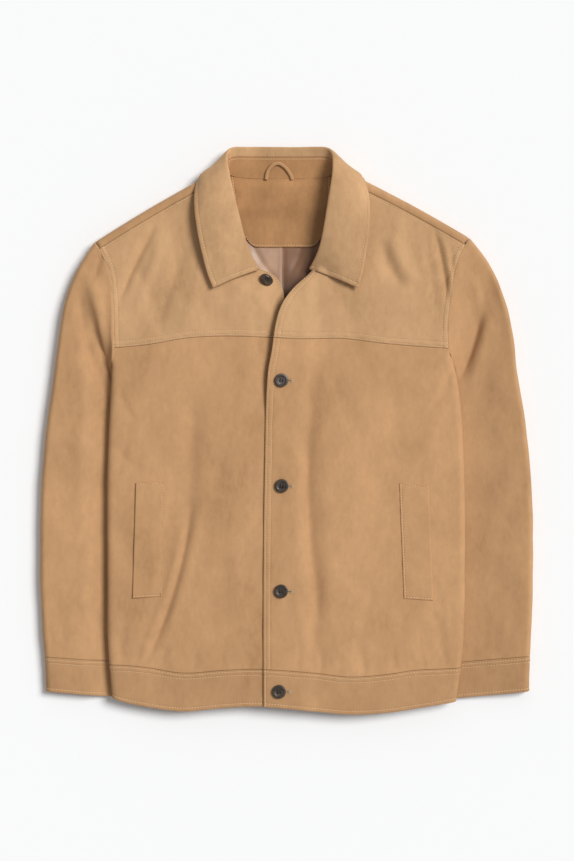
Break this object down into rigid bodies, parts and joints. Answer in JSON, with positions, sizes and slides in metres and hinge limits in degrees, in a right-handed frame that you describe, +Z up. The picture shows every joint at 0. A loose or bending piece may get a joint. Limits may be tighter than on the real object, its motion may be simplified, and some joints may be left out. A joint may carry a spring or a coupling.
{
  "type": "suede jacket",
  "caption": "Man's suede jacket with a turned-down collar, chest yoke, slanted welt pockets and a waistband, buttoned and laid flat on its back.",
  "frame": {"origin": "middle of the jacket's box, on the surface it lies on", "axes": "+Y from the hem towards the neck, +Z up through the fronts, +X towards the wearer's left sleeve"},
  "size_m": [0.6712, 0.7709, 0.0421],
  "materials": {
    "suede": "matte brushed nap",
    "lining": "soft satin",
    "horn": "polished, mottled"
  },
  "bodies": {
    "root": {"back": "suede", "back_facing": "suede", "back_lining": "lining", "button_1": "horn", "button_2": "horn", "button_3": "horn", "button_4": "horn", "button_5": "horn", "collar_fall": "suede", "collar_stand": "suede", "cuff_left": "suede", "cuff_right": "suede", "front_left": "suede", "front_right": "suede", "hanger_loop": "suede", "sleeve_left": "suede", "sleeve_right": "suede", "waistband_back": "suede", "waistband_left": "suede", "waistband_right": "suede", "welt_left": "suede", "welt_right": "suede", "yoke_left": "suede", "yoke_right": "suede"}
  },
  "joints": []
}
